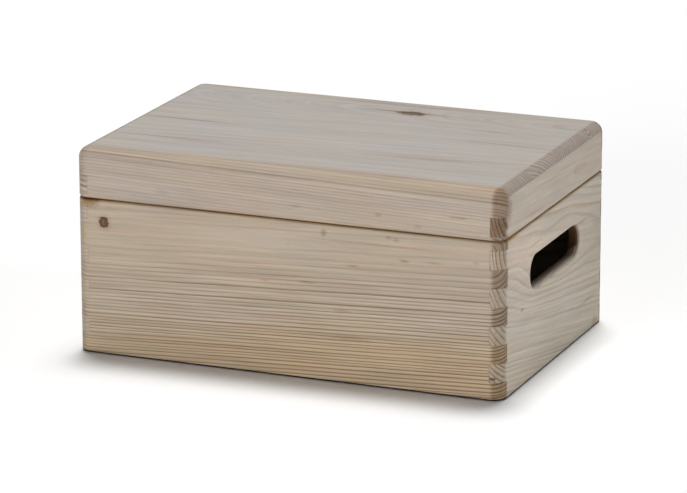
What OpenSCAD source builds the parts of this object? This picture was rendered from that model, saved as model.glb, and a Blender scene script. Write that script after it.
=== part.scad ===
// Pine storage box with a hinged lid.
// The four walls meet in finger joints and were cut apart along the seam after gluing, so the fingers
// of the lid carry on from those of the body, less the width of the saw cut.
// The origin is the centre of the base. +X is to the right, +Y to the back and +Z up.

/* [Box] */
// Outside length, left to right
box_w = 300; // [260:10:420]
// Outside depth, front to back
box_d = 200; // [180:10:320]
// Height of the body, from the base to the seam
body_h = 106; // [95:0.5:200]
// Height of the lid, from the seam to its top face
lid_h = 33.5; // [28:1:60]
// Gap between the body and the closed lid
seam_gap = 0.5; // [0.3:0.1:1]

/* [Boards] */
// Thickness of the wall boards
wall_t = 9; // [9:0.5:12]
// Thickness of the top boards
top_t = 6; // [5:0.5:10]
// Thickness of the plywood base
base_t = 4; // [3:0.5:6]
// Depth of the rebate that the base sits in
rebate = 4; // [3:0.5:5]

/* [Finger joints] */
// Height of one finger
finger_h = 12.5; // [10:0.5:20]
// Height lost to the saw cut that freed the lid
kerf = 3.3; // [0:0.1:5]

/* [Rounded edges] */
// Radius of the four upright corners
corner_r = 9; // [8:0.5:12]
// Radius along the top edges of the lid
top_r = 7.5; // [2:0.5:7.5]
// Radius of the eased edges at the seam and the base
edge_r = 1.5; // [0.5:0.5:2.5]

/* [Hand slots] */
// Length of a slot, end to end
slot_w = 93; // [80:1:120]
// Height of a slot
slot_h = 21; // [20:1:30]
// Height of a slot's centre above the base
slot_z = 71; // [45:1:72]
// Radius of the rounding round a slot
slot_r = 3; // [1:0.5:4]

/* [Hinges] */
// Distance from a box end to the middle of the nearer hinge
hinge_in = 60; // [40:5:90]
// Length of a hinge along its pin
hinge_l = 30; // [25:1:40]
// Width of one leaf, from the pin's centre
leaf_w = 14; // [12:0.5:16]
// Thickness of a leaf
leaf_t = 0.9; // [0.8:0.1:1.2]
// Radius of the pin
pin_r = 1; // [0.9:0.1:1.1]

/* [Hidden] */

// Smoothness of every round surface
$fn = 64;

// Colours of the materials
pine = [0.82, 0.74, 0.63];
pine_top = [0.80, 0.73, 0.64];
plywood = [0.86, 0.77, 0.62];
brass = [0.78, 0.62, 0.32];
steel = [0.66, 0.66, 0.67];

// Heights of the main levels
lid_z = body_h + seam_gap;
lid_top = lid_z + lid_h;
rail_top = lid_top - top_t;

// The front and back boards hold the even rows of fingers, and the side boards the odd ones
long_boards = 0;
side_boards = 1;

// The top is four boards glued edge to edge between the front and back boards of the lid
stave_w = (box_d - 2 * wall_t) / 4;

// Hinge: the pin lies behind the back face, level with the middle of the seam
barrel_r = 2 * pin_r;
pin_y = box_d / 2 + barrel_r;
pin_z = body_h + seam_gap / 2;
hinge_x = box_w / 2 - hinge_in;
knuckles = 5;
knuckle_w = hinge_l / knuckles;
knuckle_gap = 0.2;
barrel_gap = 0.25;
pin_gap = 0.05;
pin_head_r = 1.5 * pin_r;
pin_head_t = 0.6;

// Countersunk screws, two in each leaf
screw_l = 8;
screw_r = 1.1;
screw_tip = 2;
screw_gap = 0.05;
head_r = 2.1;
pilot_r = 0.8;
screw_x = 0.3 * hinge_l;
screw_drop = 0.62 * leaf_w;
recess_w = 0.5;
recess_d = 0.5;
recess_l = 2.6;

// ---------- outlines ----------

// Rounded section of a block, from z0 to z1, with its own radius at the foot and at the head
module edge_section(width, z0, z1, foot_r, head_r) {
  translate([-width / 2 + foot_r, z0]) square([width - 2 * foot_r, foot_r]);
  translate([-width / 2, z0 + foot_r]) square([width, z1 - z0 - foot_r - head_r]);
  translate([-width / 2 + head_r, z1 - head_r]) square([width - 2 * head_r, head_r]);
  for (side = [-1, 1]) {
    translate([side * (width / 2 - foot_r), z0 + foot_r]) circle(foot_r);
    translate([side * (width / 2 - head_r), z1 - head_r]) circle(head_r);
  }
}

// Solid block with rounded upright corners and rounded edges, as the glued box was shaped
module shaped_block(z0, z1, foot_r, head_r) {
  rotate([90, 0, 0]) linear_extrude(box_d - 2 * corner_r, center = true)
    edge_section(box_w, z0, z1, foot_r, head_r);
  rotate([90, 0, 90]) linear_extrude(box_w - 2 * corner_r, center = true)
    edge_section(box_d, z0, z1, foot_r, head_r);
  for (x = [-1, 1], y = [-1, 1])
    translate([x * (box_w / 2 - corner_r), y * (box_d / 2 - corner_r), 0])
      rotate_extrude() intersection() {
        edge_section(2 * corner_r, z0, z1, foot_r, head_r);
        translate([0, z0]) square([corner_r, z1 - z0]);
      }
}

module body_block() shaped_block(0, body_h, edge_r, edge_r);

module lid_block() shaped_block(lid_z, lid_top, edge_r, top_r);

// ---------- walls ----------

// Upright board along X with fingers at both ends in its own rows, from z0 to z1.
// saw is how far the rows have dropped below their places in the closed box.
module finger_board(length, rows, z0, z1, saw) {
  translate([-length / 2 + wall_t, 0, z0]) cube([length - 2 * wall_t, wall_t, z1 - z0]);
  for (row = [rows : 2 : ceil((z1 + saw) / finger_h)]) {
    low = max(z0, row * finger_h - saw);
    high = min(z1, (row + 1) * finger_h - saw);
    if (high > low) translate([-length / 2, 0, low]) cube([length, wall_t, high - low]);
  }
}

// Board along the front face. The back one is its mirror image.
module front_board(z0, z1, saw)
  translate([0, -box_d / 2, 0]) finger_board(box_w, long_boards, z0, z1, saw);

// Board along the right face. The left one is its mirror image.
module right_board(z0, z1, saw)
  translate([box_w / 2, 0, 0]) rotate([0, 0, 90]) finger_board(box_d, side_boards, z0, z1, saw);

// Space of the plywood base, let into all four walls
module base_space(height) {
  w = box_w - 2 * wall_t + 2 * rebate;
  d = box_d - 2 * wall_t + 2 * rebate;
  translate([-w / 2, -d / 2, 0]) cube([w, d, height]);
}

// Opening through the wall along +Z, from 0 to wall_t, flared by slot_r at both faces
module slot_section() {
  reach = slot_h / 2 + slot_r;
  square([slot_h / 2, wall_t]);
  for (face = [0, 1])
    translate([0, face * wall_t]) mirror([0, face]) difference() {
      square([reach, slot_r]);
      translate([reach, slot_r]) circle(slot_r);
    }
}

module hand_slot() {
  run = slot_w - slot_h;
  translate([box_w / 2 - wall_t, 0, slot_z]) rotate([90, 0, 90]) {
    rotate([90, 0, 90]) linear_extrude(run, center = true) {
      slot_section();
      mirror([1, 0]) slot_section();
    }
    for (side = [-1, 1]) translate([side * run / 2, 0, 0]) rotate_extrude() slot_section();
  }
}

module front_panel() color(pine) difference() {
  intersection() {
    front_board(0, body_h, 0);
    body_block();
  }
  base_space(base_t);
}

module back_panel() color(pine) difference() {
  mirror([0, 1, 0]) front_panel();
  screw_places(-1) pilot_hole();
}

module right_side_panel() color(pine) difference() {
  intersection() {
    right_board(0, body_h, 0);
    body_block();
  }
  base_space(base_t);
  hand_slot();
}

module left_side_panel() mirror([1, 0, 0]) right_side_panel();

module bottom_panel() color(plywood) base_space(base_t);

// ---------- lid ----------

// The front and back boards of the lid rise past the side boards, by the thickness of the top
module lid_front_rail() color(pine) intersection() {
  union() {
    front_board(lid_z, rail_top, kerf);
    translate([-box_w / 2, -box_d / 2, rail_top]) cube([box_w, wall_t, top_t]);
  }
  lid_block();
}

module lid_back_rail() color(pine) difference() {
  mirror([0, 1, 0]) lid_front_rail();
  screw_places(1) pilot_hole();
}

module lid_right_rail() color(pine) intersection() {
  right_board(lid_z, rail_top, kerf);
  lid_block();
}

module lid_left_rail() mirror([1, 0, 0]) lid_right_rail();

// One board of the top, laid over the side boards and counted from the front
module lid_stave(place) color(pine_top) intersection() {
  translate([-box_w / 2, wall_t - box_d / 2 + (place - 1) * stave_w, rail_top])
    cube([box_w, stave_w, top_t]);
  lid_block();
}

// ---------- hinges ----------

// Children at both hinges' pin centres
module hinge_place(side) translate([side * hinge_x, pin_y, pin_z]) children();

// Children at each screw of both hinges, with +Z out of the wood and 0 at the wood's face.
// up is 1 for the lid's leaves and -1 for the body's.
module screw_places(up)
  for (side = [-1, 1], x = [-screw_x, screw_x])
    translate([side * hinge_x + x, box_d / 2, pin_z + up * screw_drop]) rotate([-90, 0, 0]) children();

module pilot_hole() translate([0, 0, leaf_t - screw_l]) cylinder(h = screw_l, r = pilot_r);

// Leaf below the pin, with the knuckles that start at first and every second one after it
module leaf(first) difference() {
  union() {
    translate([-hinge_l / 2, -barrel_r, -leaf_w]) cube([hinge_l, leaf_t, leaf_w - barrel_r - barrel_gap]);
    for (k = [first : 2 : knuckles - 1]) {
      start = -hinge_l / 2 + k * knuckle_w + (k == 0 ? 0 : knuckle_gap);
      stop = -hinge_l / 2 + (k + 1) * knuckle_w;
      translate([start, -barrel_r, -leaf_w / 2]) cube([stop - start, leaf_t, leaf_w / 2]);
      translate([start, 0, 0]) rotate([0, 90, 0]) cylinder(h = stop - start, r = barrel_r);
    }
  }
  translate([-hinge_l, 0, 0]) rotate([0, 90, 0]) cylinder(h = 2 * hinge_l, r = pin_r + pin_gap);
  for (x = [-screw_x, screw_x])
    translate([x, -barrel_r, -screw_drop]) rotate([-90, 0, 0])
      cylinder(h = leaf_t, r1 = screw_r + screw_gap, r2 = head_r + screw_gap);
}

module body_leaf(side) color(brass) hinge_place(side) leaf(0);

module lid_leaf(side) color(brass) hinge_place(side) mirror([0, 0, 1]) leaf(1);

// Pin with a head against each end of the barrel
module hinge_pin(side) color(steel) hinge_place(side) rotate([0, 90, 0]) {
  cylinder(h = hinge_l, r = pin_r, center = true);
  for (end = [-1, 1])
    translate([0, 0, end * (hinge_l + pin_head_t) / 2]) cylinder(h = pin_head_t, r = pin_head_r, center = true);
}

// Countersunk wood screw with its head flush with the leaf and a cross recess
module wood_screw() difference() {
  union() {
    cylinder(h = leaf_t, r1 = screw_r, r2 = head_r);
    translate([0, 0, leaf_t - screw_l + screw_tip]) cylinder(h = screw_l - screw_tip - leaf_t, r = screw_r);
    translate([0, 0, leaf_t - screw_l]) cylinder(h = screw_tip, r1 = 0.2, r2 = screw_r);
  }
  for (turn = [0, 90])
    rotate([0, 0, turn]) translate([-recess_l / 2, -recess_w / 2, leaf_t - recess_d])
      cube([recess_l, recess_w, 2 * recess_d]);
}

module body_hinge_screws() color(brass) screw_places(-1) wood_screw();

module lid_hinge_screws() color(brass) screw_places(1) wood_screw();

front_panel();
back_panel();
left_side_panel();
right_side_panel();
bottom_panel();
lid_front_rail();
lid_back_rail();
lid_left_rail();
lid_right_rail();
lid_stave(1);  // lid_stave_1
lid_stave(2);  // lid_stave_2
lid_stave(3);  // lid_stave_3
lid_stave(4);  // lid_stave_4
body_leaf(-1);  // left_hinge_body_leaf
lid_leaf(-1);  // left_hinge_lid_leaf
hinge_pin(-1);  // left_hinge_pin
body_leaf(1);  // right_hinge_body_leaf
lid_leaf(1);  // right_hinge_lid_leaf
hinge_pin(1);  // right_hinge_pin
body_hinge_screws();
lid_hinge_screws();
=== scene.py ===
"""Looks of a pine storage box with a hinged lid: solid procedural pine cut from boards with their own
rings, knots and end grain, a plywood base, brass hinges, and the studio it stands in."""

import math
import random
from collections import namedtuple
from dataclasses import dataclass

import bpy
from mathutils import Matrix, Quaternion, Vector


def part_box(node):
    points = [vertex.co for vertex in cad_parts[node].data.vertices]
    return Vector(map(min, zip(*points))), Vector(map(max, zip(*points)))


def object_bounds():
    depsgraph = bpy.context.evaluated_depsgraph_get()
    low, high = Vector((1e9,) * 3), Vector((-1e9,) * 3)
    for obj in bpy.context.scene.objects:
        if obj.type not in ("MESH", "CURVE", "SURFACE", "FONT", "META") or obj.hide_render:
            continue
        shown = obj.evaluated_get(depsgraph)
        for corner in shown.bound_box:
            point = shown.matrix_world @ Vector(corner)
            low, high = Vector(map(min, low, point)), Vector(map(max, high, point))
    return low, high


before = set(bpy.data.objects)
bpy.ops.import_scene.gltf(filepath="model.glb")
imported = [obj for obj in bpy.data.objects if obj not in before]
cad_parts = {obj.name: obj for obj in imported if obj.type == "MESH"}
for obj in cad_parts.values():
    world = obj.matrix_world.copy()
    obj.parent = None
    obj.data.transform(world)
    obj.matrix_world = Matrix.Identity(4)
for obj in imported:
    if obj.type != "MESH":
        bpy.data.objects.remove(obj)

CAD_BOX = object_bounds()
MM = 0.001

# Levels and widths of the box in millimetres, from the frame
HALF_W = CAD_BOX[1].x / MM
HALF_D = -CAD_BOX[0].y / MM
TOP = CAD_BOX[1].z / MM
WALL = (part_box("front_panel")[1].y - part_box("front_panel")[0].y) / MM
SEAM_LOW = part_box("front_panel")[1].z / MM
SEAM_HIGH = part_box("lid_front_rail")[0].z / MM
STAVE_W = (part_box("lid_stave_1")[1].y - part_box("lid_stave_1")[0].y) / MM

# Sizes in millimetres that the frame doesn't give: the height of a finger of the corner joints, what the
# saw took between body and lid, and the rounded height of the lid's top edge and of the body's rim
FINGER = 12.5
KERF = 3.3
TOP_ROUNDING = 7
RIM_ROUNDING = 1


# ---------- fields: values that vary over a surface ----------


def add_node(tree, kind, inputs=(), **settings):
    """A new node with its properties set and its inputs linked or set, by name or by place."""
    node = tree.nodes.new(kind)
    for name, value in settings.items():
        setattr(node, name, value)
    for key, value in inputs.items() if isinstance(inputs, dict) else enumerate(inputs):
        if isinstance(value, Field):
            tree.links.new(value.socket, node.inputs[key])
        else:
            node.inputs[key].default_value = value
    return node


class Field:
    """One node's output, as a number, point or colour that ordinary arithmetic works on."""

    def __init__(self, tree, socket):
        self.tree = tree
        self.socket = socket

    def node(self, kind, inputs, output=0, **settings):
        return Field(self.tree, add_node(self.tree, kind, inputs, **settings).outputs[output])

    def math(self, operation, *others):
        return self.node("ShaderNodeMath", [self, *others], operation=operation)

    def __add__(self, other):
        return self.math("ADD", other)

    def __sub__(self, other):
        return self.math("SUBTRACT", other)

    def __mul__(self, other):
        return self.math("MULTIPLY", other)

    def __truediv__(self, other):
        return self.math("DIVIDE", other)

    def __rsub__(self, other):
        return self * -1 + other

    def __abs__(self):
        return self.math("ABSOLUTE")

    def squared(self):
        return self * self

    def root(self):
        return self.math("SQRT")

    def least(self, other):
        return self.math("MINIMUM", other)

    def most(self, other):
        return self.math("MAXIMUM", other)

    def rise(self, low, high):
        """0 below low, 1 above high and smooth between. With low above high it falls instead."""
        inputs = {"Value": self, "From Min": low, "From Max": high}
        return self.node("ShaderNodeMapRange", inputs, interpolation_type="SMOOTHSTEP")

    def bell(self, width):
        """1 where the value is 0, fading to nothing on both sides within about twice the width."""
        return ((self / width).squared() * -1).math("EXPONENT")

    def along(self, points):
        """The value looked up on straight lines through points (input, output), all from 0 to 1."""
        node = add_node(self.tree, "ShaderNodeFloatCurve", {"Value": self})
        line = node.mapping.curves[0]
        line.points[0].location = points[0]
        line.points[1].location = points[-1]
        for x, y in points[1:-1]:
            line.points.new(x, y)
        for point in line.points:
            point.handle_type = "VECTOR"
        node.mapping.update()
        return Field(self.tree, node.outputs[0])

    def coloured(self, stops):
        """A colour looked up between stops (input, colour), the inputs from 0 to 1."""
        node = add_node(self.tree, "ShaderNodeValToRGB", {"Fac": self})
        band = node.color_ramp
        while len(band.elements) < len(stops):
            band.elements.new(0.5)
        for element, (place, colour) in zip(band.elements, stops):
            element.position = place
            element.color = (*colour, 1)
        return Field(self.tree, node.outputs[0])

    def chance(self, seed):
        """A random number from 0 to 1 that is the same wherever this value is the same."""
        inputs = {"W": self + seed}
        return self.node("ShaderNodeTexWhiteNoise", inputs, noise_dimensions="1D")

    def noise(self, scale, seed, detail=2.0):
        """Soft noise from 0 to 1 at this point, with scale the waves per millimetre along each axis."""
        offset = (seed * 7.31, seed * 3.17, seed * 5.53)
        place = self.node("ShaderNodeVectorMath", [self, scale, offset], operation="MULTIPLY_ADD")
        inputs = {"Vector": place, "Scale": 1.0, "Detail": detail, "Roughness": 0.55}
        return self.node("ShaderNodeTexNoise", inputs)

    def scaled(self, amount):
        """This colour made lighter or darker."""
        return self.node("ShaderNodeVectorMath", {"Vector": self, "Scale": amount}, operation="SCALE")

    def tinted(self, colour):
        """This colour multiplied by another."""
        return self.node("ShaderNodeVectorMath", [self, colour], operation="MULTIPLY")

    def mixed(self, colour, share):
        """This colour turned towards another by a share from 0 to 1. The node's sockets for colours have
        the same names as those for numbers, so they are taken by their place."""
        return self.node("ShaderNodeMix", {0: share, 6: self, 7: colour}, output=2, data_type="RGBA")


def srgb(red, green, blue):
    """A display colour, each part from 0 to 255, as the linear one that shaders take."""
    parts = (value / 255 for value in (red, green, blue))
    return tuple(v / 12.92 if v <= 0.04045 else ((v + 0.055) / 1.055) ** 2.4 for v in parts)


def new_material(name):
    """A material with an empty principled shader, and its node tree and shader."""
    material = bpy.data.materials.new(name)
    material.use_nodes = True
    tree = material.node_tree
    return material, tree, tree.nodes["Principled BSDF"]


def surface_place(tree):
    """Where a point of the surface is, in millimetres, and how it faces: two triples of fields."""
    coordinates = add_node(tree, "ShaderNodeTexCoord")
    triples = []
    for output, scale in (("Object", 1 / MM), ("Normal", 1.0)):
        parts = add_node(tree, "ShaderNodeSeparateXYZ", [Field(tree, coordinates.outputs[output])])
        triples.append([Field(tree, socket) * scale for socket in parts.outputs])
    return triples


def join(tree, u, v, w):
    """A point whose parts are fields or numbers."""
    return Field(tree, add_node(tree, "ShaderNodeCombineXYZ", [u, v, w]).outputs[0])


def finish_shader(tree, shader, colour, roughness, height, depth):
    """Gives the shader its colour and roughness, and relief that is depth millimetres at height 1."""
    tree.links.new(colour.socket, shader.inputs["Base Color"])
    tree.links.new(roughness.socket, shader.inputs["Roughness"])
    bump = add_node(tree, "ShaderNodeBump", {"Distance": depth * MM, "Height": height})
    tree.links.new(bump.outputs[0], shader.inputs["Normal"])


# ---------- pine ----------


# Spots on a board: centre and radii along and across the grain, in millimetres. Rings bend round knots and
# swells by lift, and marks and knots show by their strength, from 0 to 1. core is the tint of a knot's
# heart, and split is how much of a paler split shows in it.
Oval = namedtuple("Oval", "along across long_r wide_r")
Knot = namedtuple("Knot", "along across long_r wide_r lift strength core split")
Mark = namedtuple("Mark", "along across long_r wide_r strength tint")
Swell = namedtuple("Swell", "along across long_r wide_r lift")

# Tints, which a colour is multiplied by
COOL = (0.97, 0.985, 1.04)
RUDDY = (1.02, 0.965, 0.94)
CUT_RING = (0.58, 0.49, 0.44)
DUCT = (0.80, 0.72, 0.63)
KNOT_HALO = (0.90, 0.84, 0.75)
KNOT_RIM = (0.45, 0.36, 0.30)
# Painted shade on the rounded upright corners
PAINTED_CORNER_SHADE = (0.88, 0.88, 0.88)
# Painted shade along the base of the boards, where the box meets the floor
PAINTED_BASE_SHADE = (0.06, 0.05, 0.05)
SAWN = (0.70, 0.52, 0.28)
# Painted shade inside the hand slots
PAINTED_SLOT_SHADE = (0.24, 0.13, 0.06)


@dataclass
class Board:
    """How one board was cut from its tree, in millimetres. u runs along the grain, v across the face
    and w through the thickness. The pith is a line at (v, w) that leans and bows as u grows."""

    axes: str  # the letters of the box's axes that u, v and w are
    pith: tuple  # where u is 0
    rings: list  # radii, and how dark each ring's late wood is
    tones: list  # radii, and the display colour of the wood there
    seed: int
    lean: tuple = (0.0, 0.0)  # slopes in v and w
    bow: float = 0.0  # curve in w
    wander: float = 2.0  # how far the rings drift from circles
    late: tuple = (0.70, 0.62, 0.52)  # tint of late wood
    fade: tuple = (1.0, 1.0)  # strength of late wood at the low end and the high end
    figure: float = 0.3  # strength of the streaks along the grain
    calm: float = 0.0  # how much weaker the streaks are level with the pith
    end_tints: tuple = ((0.62, 0.57, 0.53), (0.62, 0.57, 0.53))  # of the low end and the high end
    end_rings: tuple = (1.0, 1.0)  # how strongly rings show on the low end and the high end
    knots: tuple = ()
    swells: tuple = ()
    marks: tuple = ()
    slot: Oval = None


def growth(known, first, last, spacing, seed, dark=(0.45, 0.8)):
    """Ring radii and how dark each ring's late wood is: the known rings, and others around them."""
    pick = random.Random(seed)
    rings = list(known)
    radius = first
    inner, outer = (known[0][0], known[-1][0]) if known else (last, last)
    while radius < last:
        if radius < inner - spacing / 2 or radius > outer:
            rings.append((radius, pick.uniform(*dark)))
        radius = radius + spacing * pick.uniform(0.7, 1.3)
        if inner - spacing / 2 <= radius <= outer:
            radius = outer + spacing
    return sorted(rings)


class Cut:
    """A point of a board's surface: its place and facing in the box, and u, v, w in the board, also as
    the point spot. pith_v and pith_w are where the pith is, and beside_pith counts v from it."""

    def __init__(self, tree, board):
        self.tree = tree
        self.board = board
        self.place, self.facing = surface_place(tree)
        self.u, self.v, self.w = (self.place["xyz".index(letter)] for letter in board.axes)
        self.spot = join(tree, self.u, self.v, self.w)
        self.pith_v = self.u * board.lean[0] + board.pith[0]
        self.pith_w = (self.u * board.bow + board.lean[1]) * self.u + board.pith[1]
        self.beside_pith = join(tree, self.u, self.v - self.pith_v, self.w)
        self.lengthwise = self.facing["xyz".index(board.axes[0])]

    def oval(self, shape):
        """Distance from a shape's centre, 1 on the oval with its long and wide radii."""
        along = (self.u - shape.along) / shape.long_r
        across = (self.v - shape.across) / shape.wide_r
        return (along.squared() + across.squared()).root()


def pine(name, board, joints):
    """Solid pine: rings round the pith show as lines on a face and as arcs on end grain, whatever the
    surface cuts. joints makes the mask of the glued joints' hairlines from the place on the box."""
    material, tree, shader = new_material(name)
    cut = Cut(tree, board)
    spot, seed = cut.spot, board.seed
    ragged = (spot.noise((0.3, 0.5, 0.2), seed + 9, 1.0) - 0.5) * 0.9
    knots = [(cut.oval(knot) + ragged, knot) for knot in board.knots]
    radius = ring_radius(cut, knots)
    number, bands, dark = ring_bands(board, radius)
    patchy = spot.noise((0.02, 0.08, 0.08), seed + 2, 1.0)
    fade_low, fade_high = board.fade
    fade = (cut.u / (2 * HALF_W) + 0.5) * (fade_high - fade_low) + fade_low
    late = bands * dark * (patchy * 1.1 + 0.5) * fade
    fibre = spot.noise((0.05, 1.8, 1.8), seed + 5, 3.0) - 0.5
    colour = early_wood(cut, radius, number, fibre)
    colour = colour.mixed(colour.tinted(board.late), late)

    # Cut across the fibres, wood drinks in light: darker, and its rings stand out. Where the board's end
    # is rounded, that starts as the surface begins to face lengthwise and is full at turn.
    turn = 0.5 if board.axes[0] == "y" else 0.3
    low_end = cut.lengthwise.rise(-0.02, -turn)
    high_end = cut.lengthwise.rise(0.02, turn)
    end = low_end + high_end
    cut_rings = low_end * board.end_rings[0] + high_end * board.end_rings[1]
    colour = colour.mixed(colour.tinted(CUT_RING), bands * cut_rings * (patchy + 0.3))

    # Resin ducts: short thin dashes along the grain, and pores on end grain
    ducts = spot.noise((0.16, 2.4, 2.4), seed + 6, 1.0).rise(0.66, 0.76)
    colour = colour.mixed(colour.tinted(DUCT), ducts * 0.55)
    pores = spot.noise((0.3, 5.0, 5.0), seed + 7, 1.0).rise(0.35, 0.75)
    for this_end, tint in zip((low_end, high_end), board.end_tints):
        colour = colour.mixed(colour.tinted(tint).scaled(1.08 - pores * 0.22), this_end)

    roughness = 0.66 - late * 0.12 + end * 0.12 + fibre * 0.1
    for near, knot in knots:
        colour, heart = knotted(cut, colour, near, knot)
        roughness = roughness + heart * 0.05
    colour = marked(cut, colour)
    line = joints(*cut.place)
    colour = worked_and_painted_shade(cut, colour, line)
    # Painted shade inside the hand slot
    if board.slot:
        colour = paint_slot_shade(cut, colour)

    height = late * 0.5 + fibre * 0.5 - ducts * 0.4 - line * 1.6 - end * pores * 0.5
    finish_shader(tree, shader, colour, roughness, height, depth=0.06)
    shader.inputs["IOR"].default_value = 1.45
    shader.inputs["Specular IOR Level"].default_value = 0.35
    return material


def ring_radius(cut, knots):
    """Distance from the pith, with the drift and small waves of real growth, bent by knots and swells."""
    seed = cut.board.seed
    radius = ((cut.v - cut.pith_v).squared() + (cut.w - cut.pith_w).squared()).root()
    wander = cut.spot.noise((0.009, 0.022, 0.022), seed, 1.0) - 0.5
    waves = cut.spot.noise((0.035, 0.09, 0.09), seed + 1, 1.0) - 0.5
    radius = radius + wander * cut.board.wander + waves * 0.5
    for near, knot in knots:
        radius = radius + near.bell(2.2) * knot.lift
    for swell in cut.board.swells:
        radius = radius + cut.oval(swell).bell(1.0) * swell.lift
    return radius


def ring_bands(board, radius):
    """The ring's number, how far this point is into its late wood, and how dark that wood is. Pale early
    wood darkens slowly into a thin band of late wood, which ends sharply."""
    inner = board.rings[0][0]
    reach = board.rings[-1][0] - inner
    last = len(board.rings) - 1
    radii = [((r - inner) / reach, i / last) for i, (r, _) in enumerate(board.rings)]
    count = ((radius - inner) / reach).along(radii) * last
    number = count.math("CEIL")
    within = count - number + 1
    dark = (number / last).along([(i / last, d) for i, (_, d) in enumerate(board.rings)])
    bands = within.rise(0.4, 0.97).math("POWER", 1.6) * within.rise(1.0, 0.975)
    return number, bands, dark


def early_wood(cut, radius, number, fibre):
    """The wood's own colour: tones that change from ring to ring, cool and ruddy zones, and streaks."""
    board, beside_pith, seed = cut.board, cut.beside_pith, cut.board.seed
    low, high = board.tones[0][0], board.tones[-1][0]
    stops = [((r - low) / (high - low), srgb(*shown)) for r, shown in board.tones]
    tone = ((radius - low) / (high - low)).coloured(stops)
    cool = beside_pith.noise((0.012, 0.05, 0.03), seed + 3)
    tone = tone.mixed(tone.tinted(COOL), cool.rise(0.42, 0.7))
    ruddy = beside_pith.noise((0.014, 0.12, 0.1), seed + 10)
    tone = tone.mixed(tone.tinted(RUDDY), ruddy.rise(0.48, 0.68) * 0.9)
    streak = beside_pith.noise((0.008, 0.42, 0.42), seed + 4, 3.0) - 0.5
    growth_band = join(cut.tree, cut.u, radius, 0.0).noise((0.012, 0.8, 0.0), seed + 8, 3.0) - 0.5
    cloud = beside_pith.noise((0.02, 0.12, 0.1), seed + 11) - 0.5
    ring_tone = number.chance(seed) - 0.5
    figure = (1 - ((cut.v - cut.pith_v).bell(18) * board.calm)) * board.figure
    shade = (streak + growth_band) * figure + fibre * 0.27 + ring_tone * 0.06 + cloud * 0.12
    return tone.scaled(shade + 1)


def knotted(cut, colour, near, knot):
    """The colour with one knot, and how much of its heart is here: a ringed heart with a paler split in
    it, a dark rim and a stained halo. near is the distance from the knot, 1 at its edge."""
    halo = near.rise(2.0, 1.0) * knot.strength
    colour = colour.mixed(colour.tinted(KNOT_HALO), halo * 0.6)
    rings = (near * 17).math("SINE") * 0.5 + 0.5
    heart = near.rise(1.1, 0.75) * knot.strength
    core = colour.tinted(knot.core).scaled(rings * 0.25 + 0.7)
    split = Oval(knot.along - knot.long_r * 0.2, knot.across, knot.long_r * 0.22, knot.wide_r * 0.6)
    core = core.mixed(core.scaled(1.5), cut.oval(split).rise(1.0, 0.4) * knot.split)
    colour = colour.mixed(core, heart)
    rim = (near - 0.75).bell(0.28) * knot.strength
    return colour.mixed(colour.tinted(KNOT_RIM), rim * 0.5), heart


def marked(cut, colour):
    """The colour with the board's stains and odd streaks, their edges frayed."""
    for mark in cut.board.marks:
        frayed = (cut.spot.noise((0.25, 0.6, 0.3), cut.board.seed + mark.along) - 0.5) * 0.9
        share = (cut.oval(mark) + frayed).rise(1.15, 0.2) * mark.strength
        colour = colour.mixed(colour.tinted(mark.tint), share)
    return colour


def worked_and_painted_shade(cut, colour, line):
    """The colour with glue hairlines, wood browned by the saw, and painted shade: darker, greyer rounded
    upright corners and a nearly black strip along the base. The flat rims in the cut were sanded clean, but
    for their outer 2 mm."""
    x, y, z = cut.place
    colour = colour.scaled(1 - line * 0.2)
    # Painted shade: where the surface faces half to the front and half to the side, on the rounded upright
    # corners, it is darkened and greyed.
    corner_shade = abs(cut.facing[0]).rise(0.25, 0.42) * abs(cut.facing[1]).rise(0.1, 0.3)
    colour = colour.mixed(colour.tinted(PAINTED_CORNER_SHADE), corner_shade)
    # Painted shade: nearly black over the lowest 1.5 mm of each board, where the box meets the floor.
    colour = colour.mixed(colour.tinted(PAINTED_BASE_SHADE), z.rise(1.6, 1.2))
    from_face = (HALF_W - abs(x)).least(HALF_D - abs(y))
    rim = abs(cut.facing[2]).rise(0.4, 0.9) * from_face.rise(1.0, 2.5) * 0.9
    sawn = (z - (SEAM_LOW + SEAM_HIGH) / 2).bell(1.3) * (1 - rim)
    return colour.mixed(colour.tinted(SAWN), sawn * 0.8)


def paint_slot_shade(cut, colour):
    """The colour with painted shade on the wall of the hand slot, fading in over 2 mm in from the face. Its
    sill stays pale for 3 mm in from the face.
    """
    from_face = HALF_W - abs(cut.place[0])
    sill = cut.facing[2].rise(0.3, 0.9) * 3
    slot_shade_depth = (from_face - sill).rise(0.0, sill + 2.0)
    inside = cut.oval(cut.board.slot).rise(1.1, 1.0) * slot_shade_depth
    return colour.mixed(colour.tinted(PAINTED_SLOT_SHADE), inside)


def finger_joints(drop, owns_lowest):
    """Hairlines round the fingers at the four corners, up to where the edges are rounded. drop is how far
    the lid's rows sit below whole ones, 0 for the body's. owns_lowest tells whether the lowest row of
    fingers belongs to this board or to the boards it meets."""

    def mask(x, y, z):
        height = z + drop
        to_row = abs((height / FINGER + 0.5).math("FRACT") - 0.5) * FINGER
        corner = (abs(x) - (HALF_W - WALL)).least(abs(y) - (HALF_D - WALL))
        row_line = to_row.rise(0.18, 0.05) * corner.rise(-0.05, 0.05)
        odd_row = (height / (2 * FINGER)).math("FRACT").math("GREATER_THAN", 0.5)
        end_line = abs(corner).rise(0.28, 0.12) * (odd_row if owns_lowest else 1 - odd_row)
        highest = TOP - TOP_ROUNDING if drop else SEAM_LOW - RIM_ROUNDING
        return row_line.most(end_line) * z.rise(0.4, 0.8) * z.rise(highest, highest - 0.5)

    return mask


def stave_joints(x, y, z):
    """Hairlines between the boards of the top, and along the front and back boards of the lid."""
    row = ((y + HALF_D - WALL) / STAVE_W + 0.5).math("FRACT") - 0.5
    return (abs(row) * STAVE_W).rise(0.14, 0.03)


# ---------- the boards ----------

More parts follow.
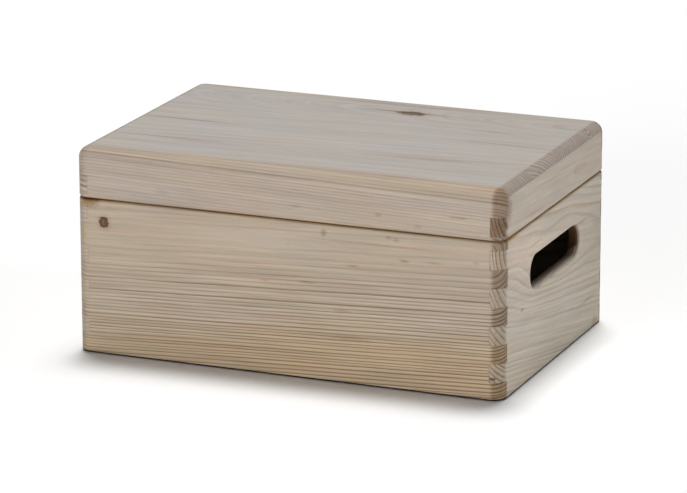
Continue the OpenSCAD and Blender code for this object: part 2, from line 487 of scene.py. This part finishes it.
# Tints of marks, knots, late wood and end grain
BROWN = (0.62, 0.52, 0.43)
GREY = (0.74, 0.70, 0.66)
ORANGE = (0.62, 0.46, 0.25)
RED = (0.78, 0.58, 0.48)
PINK = (0.90, 0.80, 0.77)
TAN = (1.03, 0.97, 0.93)
DARK = (0.50, 0.45, 0.43)
CORE = (0.38, 0.27, 0.17)
GOLD = (0.96, 0.82, 0.50)
QUIET_LATE = (0.74, 0.66, 0.60)
PALE_END = (0.95, 0.95, 0.95)
PALER_END = (0.97, 0.97, 0.97)

# An oval round each hand slot, and the pith that the boards above and below the saw cut share in front
HAND_SLOT = Oval(0, 71, 53, 16)
FRONT_PITH = (92.8, -HALF_D - 12)


def front_board():
    """Flat-sawn, its pith in front of the face, so its lines crowd together towards the base. A stain
    crosses its left end below the saw cut, above the one knot."""
    near = [(13.2, 0.0), (13.8, 0.15), (17.5, 0.2), (21.1, 0.25), (24.6, 0.4), (27.5, 0.45), (30.1, 0.5)]
    middle = [(32.6, 0.4), (35.9, 1.0), (38.2, 0.4), (40.4, 0.5), (43.6, 1.1), (46.2, 0.6), (48.3, 0.8)]
    far = [(50.8, 0.7), (53.1, 0.8), (55.2, 0.7), (57.5, 0.8), (60.5, 1.1)]
    rings = growth(near + middle + far, first=4, last=130, spacing=2.2, seed=3, dark=(0.7, 1.2))
    # The tones at the largest radii, along the base, are raised: painted light against the shade that the
    # floor's shadow casts there.
    tones = [
        (12, (182, 167, 148)), (40, (183, 167, 148)), (51, (186, 171, 151)),
        (61, (186, 169, 146)), (75, (188, 169, 142)), (92, (194, 174, 145)),
    ]
    zones = [
        Mark(30, 10, 190, 26, 0.9, (1.07, 1.045, 1.0)),
        Mark(-30, 19, 36, 4.0, 0.5, (1.03, 1.0, 1.02)),
        Mark(-60, 12, 60, 3.0, 0.5, TAN),
        Mark(110, 24, 50, 3.0, 0.5, TAN),
        Mark(-144, 88, 5, 28, 0.7, (1.0, 0.96, 0.82)),
    ]
    stain = [
        Mark(-140, 106, 9, 7.5, 1.0, ORANGE),
        Mark(-139, 107, 18, 2.4, 1.0, (0.36, 0.22, 0.12)),
        Mark(-124, 101, 9, 1.2, 0.5, (0.90, 0.80, 0.58)),
    ]
    flecks = [
        Mark(-131, 85, 5, 1.5, 0.6, (1.06, 1.05, 1.0)),
        Mark(27, 100, 2.5, 3.0, 0.7, BROWN),
        Mark(72, 101.5, 3, 2.0, 0.7, GREY),
        Mark(77, 100.5, 3, 2.0, 0.7, GREY),
        Mark(83, 87, 4, 1.2, 0.9, RED),
        Mark(103, 88, 7, 1.0, 0.6, GREY),
        Mark(132, 91, 3, 1.3, 0.7, GREY),
        Mark(47, 80, 5, 1.0, 0.6, BROWN),
        Mark(15, 66, 8, 1.2, 0.6, BROWN),
        Mark(-15, 64, 4, 1.2, 0.4, BROWN),
        Mark(40, 49, 8, 1.6, 0.5, RED),
        Mark(45, 31, 18, 3.0, 0.4, RED),
        Mark(60, 96, 60, 1.0, 0.4, BROWN),
    ]
    return Board(
        "xzy", FRONT_PITH, rings, tones, seed=11, lean=(0.043, -0.004), wander=1.2,
        late=(0.50, 0.41, 0.32), fade=(0.88, 1.42), figure=0.65, calm=0.45,
        end_tints=(PALE_END, (0.68, 0.62, 0.56)), end_rings=(0.25, 0.9),
        knots=[Knot(-129.3, 91, 3.6, 4.1, 0.5, 1.0, CORE, 1.0)], marks=zones + stain + flecks,
    )


def lid_front():
    """The board above the saw cut. A dark ring crosses it, and warmer wood lies above that."""
    fine = [(18.5 + 2.0 * step, 0.3 + 0.02 * step) for step in range(12)]
    coarse = [(44.5, 1.0), (46.6, 0.5), (48.9, 0.35), (51.4, 0.5)]
    rings = growth(fine + coarse, first=4, last=90, spacing=1.9, seed=5)
    tones = [(12, (184, 170, 154)), (43, (184, 169, 154)), (46, (180, 165, 146)), (58, (172, 156, 134))]
    marks = [
        Mark(65, 116, 3, 1.6, 0.7, GREY),
        Mark(92, 111, 4, 1.6, 0.6, GREY),
        Mark(8, 116, 5, 1.6, 0.4, GREY),
        Mark(-87, 116, 6, 2.5, 0.4, GREY),
        Mark(120, 119.5, 9, 0.8, 0.7, BROWN),
        Mark(-149, 124, 4.5, 0.7, 0.9, DARK),
        Mark(-100, 138, 100, 7, 0.8, (0.93, 0.92, 0.93)),
    ]
    return Board(
        "xzy", FRONT_PITH, rings, tones, seed=12, lean=(-0.023, 0.0), wander=1.4, figure=0.4,
        end_tints=(PALE_END, (0.70, 0.63, 0.57)), end_rings=(0.25, 0.9), marks=marks,
    )


def back_board():
    """Flat-sawn, its pith behind the back face and lower down, with one knot."""
    rings = growth([], first=4, last=150, spacing=3.4, seed=33)
    tones = [(20, (181, 165, 146)), (60, (184, 168, 147)), (90, (180, 160, 134)), (140, (184, 166, 142))]
    return Board(
        "xzy", (30, HALF_D + 22), rings, tones, seed=33, lean=(0.05, -0.04), wander=4.0,
        knots=[Knot(64, 44, 5, 4, 4.0, 0.9, CORE, 0.0)],
        marks=[Mark(-96, 82, 5, 2.5, 0.5, BROWN), Mark(20, 70, 7, 1.8, 0.4, GREY)],
    )


def lid_back():
    """The lid's back board, with nearly the same pith and finer rings."""
    rings = growth([], first=4, last=150, spacing=2.6, seed=31)
    tones = [(20, (180, 165, 147)), (80, (184, 168, 148)), (110, (182, 164, 138))]
    return Board("xzy", (40, HALF_D + 18), rings, tones, seed=31, lean=(0.03, 0.02), wander=3.0)


def right_board():
    """Pith outside the face: wide, quiet figure that falls towards the back and swells round the slot, and
    strokes on the ends that lie over towards the base. It is brighter near the slot's front end."""
    rings = growth([], first=60, last=170, spacing=2.5, seed=21, dark=(0.2, 0.8))
    tones = [(70, (189, 179, 164)), (80, (189, 179, 164)), (100, (185, 177, 161)), (150, (186, 178, 162))]
    marks = [
        Mark(-63, 52, 4, 1.5, 0.8, BROWN),
        Mark(-38, 90, 14, 1.5, 0.5, RED),
        Mark(-46, 84, 6, 2.0, 0.6, PINK),
        Mark(48, 81, 24, 1.6, 0.6, RED),
        Mark(82, 3, 9, 5.0, 0.8, RED),
        Mark(66, 23, 20, 1.5, 0.5, BROWN),
        Mark(-62, 91, 50, 24, 1.0, (1.26, 1.21, 1.19)),
        Mark(-92, 105.5, 24, 3.0, 0.9, GOLD),
        Mark(-99.6, 15, 1.0, 1.3, 1.0, (0.42, 0.24, 0.20)),
        Mark(100, 60, 75, 120, 0.9, (0.88, 0.88, 0.87)),
        Mark(-80, 36, 60, 60, 0.9, (1.09, 1.08, 1.08)),
    ]
    return Board(
        "yzx", (83, HALF_W + 75), rings, tones, seed=21, lean=(-0.17, 0.0), wander=6.0,
        late=QUIET_LATE, figure=0.42,
        end_tints=((0.83, 0.78, 0.71), (0.68, 0.65, 0.62)),
        swells=[Swell(-20, 62, 60, 24, -5.0)], marks=marks, slot=HAND_SLOT,
    )


def lid_right():
    """The lid's right board, its pith outside the face too, with a red-brown spot at the front corner."""
    rings = growth([], first=40, last=120, spacing=2.0, seed=41, dark=(0.3, 0.9))
    tones = [(40, (188, 177, 163)), (100, (190, 179, 164))]
    marks = [
        Mark(-10, 126, 60, 1.2, 0.5, PINK),
        Mark(-40, 112, 40, 1.4, 0.4, PINK),
        Mark(-97, 116, 5, 8.0, 0.7, RED),
        Mark(-93, 116, 2.5, 3.5, 0.8, (0.60, 0.38, 0.30)),
        Mark(-90, 125, 8, 12, 0.9, (0.68, 0.61, 0.57)),
        Mark(-92, 107, 24, 2.5, 0.9, GOLD),
        Mark(100, 120, 70, 60, 0.8, (0.90, 0.89, 0.87)),
    ]
    return Board(
        "yzx", (122, HALF_W + 60), rings, tones, seed=41, lean=(-0.07, 0.0), wander=4.0,
        late=QUIET_LATE, figure=0.42,
        end_tints=((0.54, 0.45, 0.38), (0.66, 0.60, 0.55)), marks=marks,
    )


def left_board():
    """Pith below the base and inside the box, which makes a figure that swells round the slot."""
    rings = growth([], first=8, last=190, spacing=3.0, seed=22, dark=(0.2, 0.6))
    tones = [(20, (178, 166, 149)), (80, (183, 169, 150)), (150, (186, 173, 156))]
    return Board(
        "yzx", (-40, -HALF_W + 20), rings, tones, seed=22, lean=(0.05, 0.06), bow=0.0003, wander=5.0,
        late=(0.78, 0.70, 0.62),
        end_tints=(PALER_END, (0.66, 0.62, 0.58)), end_rings=(0.25, 1.0),
        knots=[Knot(58, 27, 4, 3.5, 3.0, 0.9, CORE, 0.0)], swells=[Swell(0, 70, 60, 22, 6.0)],
        slot=HAND_SLOT,
    )


def lid_left():
    """The lid's left board, with three dark strokes on its front end."""
    rings = growth([], first=4, last=140, spacing=3.1, seed=42)
    tones = [(20, (180, 166, 149)), (100, (183, 170, 154))]
    return Board(
        "yzx", (20, -HALF_W + 4), rings, tones, seed=42, lean=(0.04, 0.02), wander=2.0,
        end_tints=(PALER_END, (0.66, 0.60, 0.55)), end_rings=(0.25, 1.0),
        marks=[Mark(-99, level, 3.5, 0.7, 0.9, DARK) for level in (114.5, 118.3, 121.2)],
    )


def stave(place):
    """The four boards of the top, counted from the front, each with its own cut."""
    pith, spacing, lean, knots, marks = (
        (
            (-150, TOP - 34), 3.0, (0.02, -0.03), [],
            [Mark(0, -91, 240, 8.0, 0.9, (0.97, 0.91, 0.84)), Mark(-105, -52, 55, 2.2, 0.6, GREY)],
        ),
        (
            (-60, TOP - 60), 3.2, (0.04, 0.02), [],
            [Mark(-112, -3.5, 50, 2.4, 1.0, GREY), Mark(65, -41, 60, 5.0, 0.5, PINK)],
        ),
        (
            (90, TOP - 60), 3.0, (0.06, 0.03), [],
            [Mark(92, 40, 20, 2.0, 0.5, GREY), Mark(105, 11, 50, 2.4, 0.7, GREY)],
        ),
        (
            (70, TOP + 27), 2.4, (0.0, -0.15), [Knot(22.5, 67, 10, 5.5, 4.0, 0.75, CORE, 0.0)],
            [Mark(20, 69, 38, 2.6, 0.9, BROWN), Mark(10, 86, 70, 4.0, 0.5, GREY)],
        ),
    )[place - 1]
    seed = 50 + place
    rings = growth([], first=4, last=260, spacing=spacing, seed=seed, dark=(0.15, 0.5))
    # The top's tones are greyer and cooler than the walls': painted sheen, for the pale reflection a top seen
    # from low down shows.
    tones = [(20, (176, 170, 163)), (60, (179, 173, 166)), (110, (177, 171, 163))]
    return Board(
        "xyz", pith, rings, tones, seed, lean=lean, wander=4.0,
        late=(0.80, 0.74, 0.69), figure=0.34, end_tints=((0.75, 0.71, 0.67), (0.80, 0.74, 0.70)),
        knots=knots, marks=marks,
    )


# ---------- other materials ----------


def plywood():
    """Rotary-cut birch veneer: wide, wavy figure on the faces, and stripes of the plies at the edges."""
    material, tree, shader = new_material("birch_plywood")
    ply = 1.34
    (x, y, z), facing = surface_place(tree)
    spot = join(tree, x, y, z)
    warp = spot.noise((0.006, 0.03, 0.05), 61) * 9
    figure = (y * 0.11 + warp).math("SINE") * 0.5 + 0.5
    fibre = spot.noise((0.12, 3.0, 3.0), 62, 3.0) - 0.5
    flecks = spot.noise((0.5, 3.0, 1.0), 63, 1.0).rise(0.66, 0.74)
    colour = figure.coloured([(0, srgb(196, 176, 146)), (0.6, srgb(206, 188, 160)), (1, srgb(188, 164, 132))])
    colour = colour.scaled(fibre * 0.18 + 1)
    colour = colour.mixed(colour.tinted((0.78, 0.68, 0.56)), flecks * 0.5)
    edge = 1 - abs(facing[2]).rise(0.2, 0.8)
    plies = (z / ply).math("FRACT").rise(0.35, 0.5)
    colour = colour.mixed(colour.tinted((0.66, 0.56, 0.46)), plies * edge)
    finish_shader(tree, shader, colour, fibre * 0.2 + 0.6, fibre - flecks, depth=0.04)
    return material


def metal(name, bright, dull, seed, least_roughness):
    """Rolled metal: fine scratches along the length, dark specks, and dull tarnish in soft patches."""
    material, tree, shader = new_material(name)
    (x, y, z), _ = surface_place(tree)
    spot = join(tree, x, y, z)
    scratches = spot.noise((0.25, 9.0, 9.0), seed, 3.0) - 0.5
    tarnish = spot.noise((0.35, 0.5, 0.35), seed + 1, 3.0).rise(0.42, 0.72)
    specks = spot.noise((3.0, 3.0, 3.0), seed + 2, 1.0).rise(0.68, 0.76)
    colour = tarnish.coloured([(0, srgb(*bright)), (1, srgb(*dull))]).scaled(scratches * 0.14 + 1)
    colour = colour.mixed(colour.tinted((0.55, 0.45, 0.38)), specks * 0.35)
    roughness = tarnish * 0.16 + scratches * 0.16 + specks * 0.2 + least_roughness
    finish_shader(tree, shader, colour, roughness, scratches - specks, depth=0.008)
    shader.inputs["Metallic"].default_value = 1.0
    return material


# ---------- dressing the frame ----------


def dress(node, material):
    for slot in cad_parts[node].material_slots:
        slot.material = material


def dress_boards():
    for node, board, drop, owns_lowest in (
        ("front_panel", front_board(), 0, True),
        ("back_panel", back_board(), 0, True),
        ("right_side_panel", right_board(), 0, False),
        ("left_side_panel", left_board(), 0, False),
        ("lid_front_rail", lid_front(), KERF, True),
        ("lid_back_rail", lid_back(), KERF, True),
        ("lid_right_rail", lid_right(), KERF, False),
        ("lid_left_rail", lid_left(), KERF, False),
    ):
        dress(node, pine("pine_" + node, board, finger_joints(drop, owns_lowest)))
    for place in range(1, 5):
        dress(f"lid_stave_{place}", pine(f"pine_stave_{place}", stave(place), stave_joints))
    dress("bottom_panel", plywood())


def dress_hinges():
    brass = metal("hinge_brass", (208, 180, 122), (196, 165, 107), seed=71, least_roughness=0.30)
    screw = metal("screw_brass", (176, 152, 108), (150, 126, 86), seed=81, least_roughness=0.34)
    steel = metal("pin_steel", (190, 188, 184), (140, 136, 130), seed=91, least_roughness=0.24)
    for side in ("left", "right"):
        dress(f"{side}_hinge_body_leaf", brass)
        dress(f"{side}_hinge_lid_leaf", brass)
        dress(f"{side}_hinge_pin", steel)
    dress("body_hinge_screws", screw)
    dress("lid_hinge_screws", screw)


# ---------- studio ----------


def direction(azimuth, elevation):
    """Unit vector at two angles in degrees. azimuth turns from the front of the box to its right."""
    azimuth, elevation = math.radians(azimuth), math.radians(elevation)
    return Vector((
        math.sin(azimuth) * math.cos(elevation),
        -math.cos(azimuth) * math.cos(elevation),
        math.sin(elevation),
    ))


def make_camera():
    """A long lens a little above the box, turned to its right front corner."""
    back = direction(azimuth=22.241, elevation=15.892)
    distance = 2.8193
    roll = math.radians(-0.109)
    aim = Vector((-0.000075, 0.0, 0.06175))
    data = bpy.data.cameras.new("camera")
    data.lens = 220.7
    camera = bpy.data.objects.new("camera", data)
    camera.location = aim + back * distance
    camera.rotation_mode = "QUATERNION"
    camera.rotation_quaternion = (-back).to_track_quat("-Z", "Y") @ Quaternion((0, 0, 1), roll)
    bpy.context.scene.collection.objects.link(camera)
    bpy.context.scene.camera = camera


def make_floor():
    """A wide, matt, nearly white floor at the level the box stands on."""
    half = 12.0
    mesh = bpy.data.meshes.new("floor")
    corners = [(-half, -half, 0), (half, -half, 0), (half, half, 0), (-half, half, 0)]
    mesh.from_pydata(corners, [], [(0, 1, 2, 3)])
    floor = bpy.data.objects.new("floor", mesh)
    bpy.context.scene.collection.objects.link(floor)
    material, _, shader = new_material("floor_white")
    shader.inputs["Base Color"].default_value = (0.95, 0.95, 0.95, 1)
    shader.inputs["Roughness"].default_value = 0.9
    shader.inputs["Specular IOR Level"].default_value = 0.0
    mesh.materials.append(material)


def add_sun(name, azimuth, elevation, strength, spread):
    """A broad, even light from far away, in the direction of two angles. spread is in degrees too."""
    towards = direction(azimuth, elevation)
    data = bpy.data.lights.new(name, "SUN")
    data.energy = strength
    data.angle = math.radians(spread)
    lamp = bpy.data.objects.new(name, data)
    lamp.location = towards
    lamp.rotation_mode = "QUATERNION"
    lamp.rotation_quaternion = towards.to_track_quat("Z", "Y")
    bpy.context.scene.collection.objects.link(lamp)


def make_light():
    """White walls all round, two softboxes overhead that lean back, and low ones in front and beside."""
    world = bpy.data.worlds.new("studio")
    bpy.context.scene.world = world
    world.use_nodes = True
    walls = world.node_tree.nodes["Background"]
    walls.inputs["Color"].default_value = (1, 1, 1, 1)
    walls.inputs["Strength"].default_value = 0.11
    add_sun("softbox_above", azimuth=202, elevation=78.5, strength=1.85, spread=15)
    add_sun("softbox_behind", azimuth=178, elevation=73, strength=0.88, spread=21)
    add_sun("softbox_front", azimuth=-12, elevation=8, strength=1.45, spread=24)
    add_sun("softbox_side", azimuth=100, elevation=8, strength=0.84, spread=24)
    bpy.context.scene.view_settings.view_transform = "Standard"


make_camera()
make_floor()
make_light()
dress_boards()
dress_hinges()
